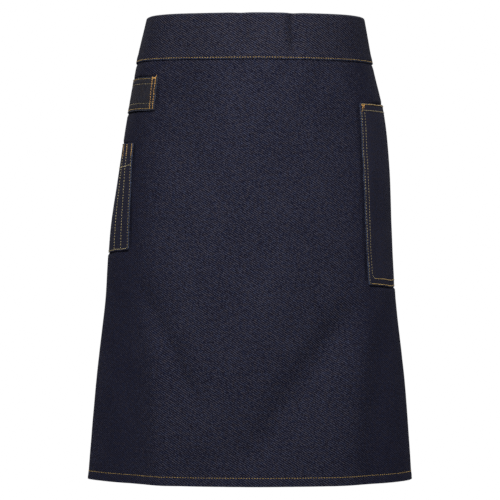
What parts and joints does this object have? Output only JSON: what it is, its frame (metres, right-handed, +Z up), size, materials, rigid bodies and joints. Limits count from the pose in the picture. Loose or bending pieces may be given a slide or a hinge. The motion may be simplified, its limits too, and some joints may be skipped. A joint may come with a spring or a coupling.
{
  "type": "waist apron",
  "caption": "Dark denim waist apron hung as worn: folded waistband, skirt panel, patch pocket, pen pocket and wide towel loop on the hips, and ties knotted at the back.",
  "frame": {"origin": "the middle of the wearer's waist, half way up the waistband", "axes": "+Z up along the wearer's body, the front of the apron faces -Y, and +X is on the right of someone who looks at the front"},
  "size_m": [0.4233, 0.2474, 0.6],
  "materials": {
    "denim_panel": "dark indigo denim, twill weave",
    "denim_band": "dark indigo denim, twill weave",
    "denim_pocket": "dark indigo denim, twill weave",
    "denim_loop": "dark indigo denim, twill weave",
    "denim_tie": "dark indigo denim, twill weave",
    "thread": "gold topstitching thread"
  },
  "bodies": {
    "root": {"skirt_panel": "denim_panel", "waistband": "denim_band", "patch_pocket": "denim_pocket", "pen_pocket": "denim_pocket", "towel_loop": "denim_loop", "tie_left": "denim_tie", "tie_right": "denim_tie", "tie_knot": "denim_tie"}
  },
  "joints": []
}
